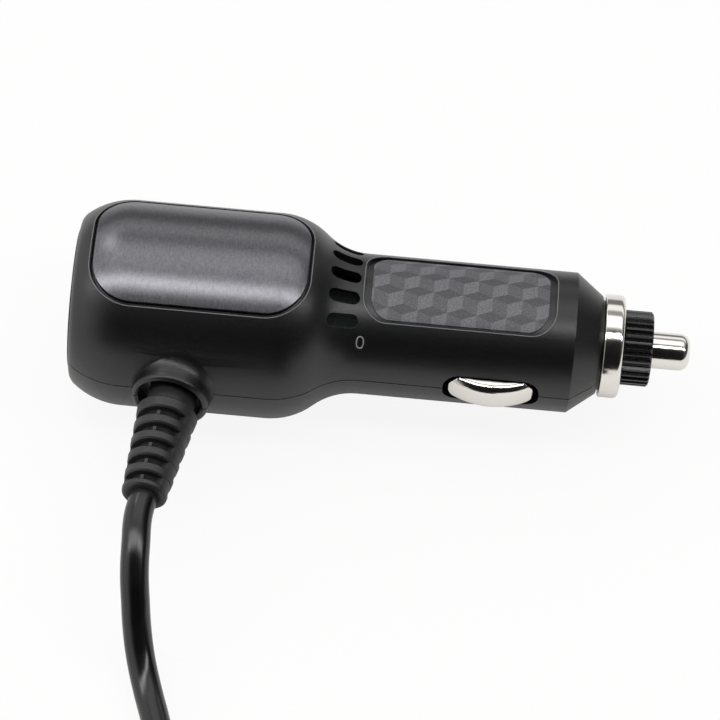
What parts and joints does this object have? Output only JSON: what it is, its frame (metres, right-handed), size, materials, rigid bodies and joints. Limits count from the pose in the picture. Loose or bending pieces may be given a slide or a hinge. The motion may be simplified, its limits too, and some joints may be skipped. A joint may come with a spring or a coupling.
{
  "type": "car usb charger plug",
  "caption": "Car accessory socket plug with a round head holding stacked USB-A sockets, side vents, sprung contacts and a captive lead wound into a tied coil.",
  "frame": {"origin": "on the plug's axis at the flat USB face", "axes": "+X along the plug towards its tip, +Z towards the side with the inlays, the lead leaves at -Y; the plug lies on its head with its lowest line at z = -15.1 mm"},
  "size_m": [0.0904, 0.1422, 0.0301],
  "materials": {
    "housing": "satin moulded ABS",
    "head_plate": "dark grey, brushed across",
    "film": "printed cube pattern",
    "nickel": "polished nickel plating",
    "cap_plastic": "glossy black",
    "fuse_glass": "clear tube",
    "spring_wire": "plated wire",
    "contact_brass": "brass strip",
    "gold": "gold plated",
    "tin": "tin plated sheet",
    "sleeve_plastic": "moulded",
    "board": "green solder mask",
    "white_plastic": "moulded",
    "black_plastic": "moulded",
    "ferrite": "wound ferrite",
    "capacitor": "sleeved can",
    "relief": "matt PVC",
    "lead": "satin PVC",
    "red_wire": "insulated wire",
    "tie": "black strap"
  },
  "bodies": {
    "plug": {"upper_shell": "housing", "lower_shell": "housing", "usb_face_plate": "housing", "head_inlay": "head_plate", "barrel_inlay": "film", "fuse_sleeve": "sleeve_plastic", "fuse_spring": "spring_wire", "live_contact": "contact_brass", "near_ground_spring": "contact_brass", "far_ground_spring": "contact_brass", "circuit_board": "board", "upper_usb_shell": "tin", "lower_usb_shell": "tin", "upper_usb_tongue": "white_plastic", "lower_usb_tongue": "white_plastic", "upper_usb_contacts": "gold", "lower_usb_contacts": "gold", "power_inductor": "ferrite", "input_capacitor": "capacitor", "output_capacitor": "capacitor", "converter_chip": "black_plastic", "strain_relief": "relief", "lead_wires": "red_wire", "lead_tube": "lead", "lead_coil": "lead", "lead_tail": "lead", "coil_tie": "tie", "connector_grip": "relief", "connector_shell": "nickel", "connector_tongue": "black_plastic"},
    "ring": {"nose_ring": "nickel"},
    "cap": {"fuse_cap": "cap_plastic"},
    "pin": {"centre_pin": "nickel", "fuse_glass": "fuse_glass", "fuse_end_caps": "tin", "fuse_element": "tin"},
    "near_contact": {"near_side_contact": "nickel"},
    "far_contact": {"far_side_contact": "nickel"}
  },
  "joints": [
    {"name": "cap_travel", "type": "slide", "parent": "plug", "child": "ring", "axis": [1, 0, 0], "range_m": [0, 0.0045]},
    {"name": "cap_turn", "type": "hinge", "parent": "ring", "child": "cap", "pos_m": [0.0805, 0, 0], "axis": [1, 0, 0], "range_deg": [0, 1080]},
    {"name": "tip_press", "type": "slide", "parent": "cap", "child": "pin", "axis": [1, 0, 0], "range_m": [-0.0035, 0], "stiffness_N_per_m": 600, "springref_m": 0.004, "deforming": ["fuse_spring"]},
    {"name": "near_contact_press", "type": "slide", "parent": "plug", "child": "near_contact", "axis": [0, -1, 0], "range_m": [-0.0012, 0], "stiffness_N_per_m": 800, "springref_m": 0.001, "deforming": ["near_ground_spring"]},
    {"name": "far_contact_press", "type": "slide", "parent": "plug", "child": "far_contact", "axis": [0, 1, 0], "range_m": [-0.0012, 0], "stiffness_N_per_m": 800, "springref_m": 0.001, "deforming": ["far_ground_spring"]}
  ],
  "couplings": [
    {"joint": "cap_turn", "follows": "cap_travel", "rad_per_m": 4188.8}
  ]
}
